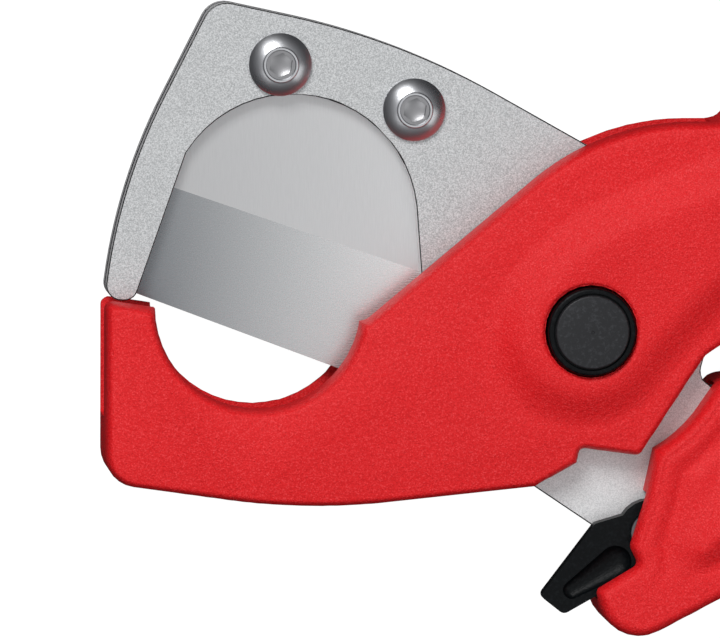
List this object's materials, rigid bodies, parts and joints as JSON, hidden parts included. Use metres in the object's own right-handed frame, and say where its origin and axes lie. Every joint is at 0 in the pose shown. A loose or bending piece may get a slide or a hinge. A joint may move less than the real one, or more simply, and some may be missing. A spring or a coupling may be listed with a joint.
{
  "type": "pvc pipe cutter",
  "caption": "Hand-held ratchetless cutter for plastic and composite pipe: red frame with a pipe saddle, a blade between two pivoting steel plates, and a lower handle with a thumb lock lever.",
  "frame": {"origin": "on the pivot axis, in the plane of the tool's rear face, on which it lies", "axes": "+X from the pivot midway between the two handles, +Y towards the upper (frame) handle, +Z along the pivot axis from the rear face to the front"},
  "size_m": [0.2106, 0.1098, 0.0202],
  "materials": {
    "painted_red": "fine textured powder coat, semi-matt",
    "plate_steel": "fine blasted grain, satin",
    "blade_steel": "fine ground, satin",
    "bright_steel": "polished",
    "zinc_steel": "zinc plated",
    "spring_steel": "oiled spring steel",
    "bronze": "turned bearing bronze",
    "black_plastic": "fine moulded grain",
    "white_plastic": "smooth"
  },
  "bodies": {
    "frame": {"front_frame": "painted_red", "rear_frame": "painted_red", "pivot_bolt": "zinc_steel", "pivot_nut": "zinc_steel", "frame_screw_1": "zinc_steel", "frame_screw_2": "zinc_steel", "frame_screw_3": "zinc_steel", "frame_screw_4": "zinc_steel", "pivot_bush": "bronze", "front_pivot_cap": "black_plastic", "rear_pivot_cap": "black_plastic", "front_thrust_washer": "white_plastic", "rear_thrust_washer": "white_plastic"},
    "cutter": {"front_blade_plate": "plate_steel", "rear_blade_plate": "plate_steel", "blade": "blade_steel", "tail_spacer": "zinc_steel", "blade_screw_1": "bright_steel", "blade_screw_2": "bright_steel", "blade_nut_1": "bright_steel", "blade_nut_2": "bright_steel", "lower_handle_front": "painted_red", "lower_handle_rear": "painted_red", "handle_screw_1": "zinc_steel", "handle_screw_2": "zinc_steel", "handle_screw_3": "zinc_steel", "lever_pin": "zinc_steel", "lever_spring_washer": "spring_steel", "opening_spring": "spring_steel"},
    "lever": {"lock_lever": "black_plastic"}
  },
  "joints": [
    {"name": "cut", "type": "hinge", "parent": "frame", "child": "cutter", "pos_m": [0, 0, 0.0095], "axis": [0, 0, 1], "range_deg": [-28, 13]},
    {"name": "lock_lever_turn", "type": "hinge", "parent": "cutter", "child": "lever", "pos_m": [-0.00172, -0.02619, 0.0095], "axis": [0, 0, 1], "range_deg": [-12, 0]}
  ]
}
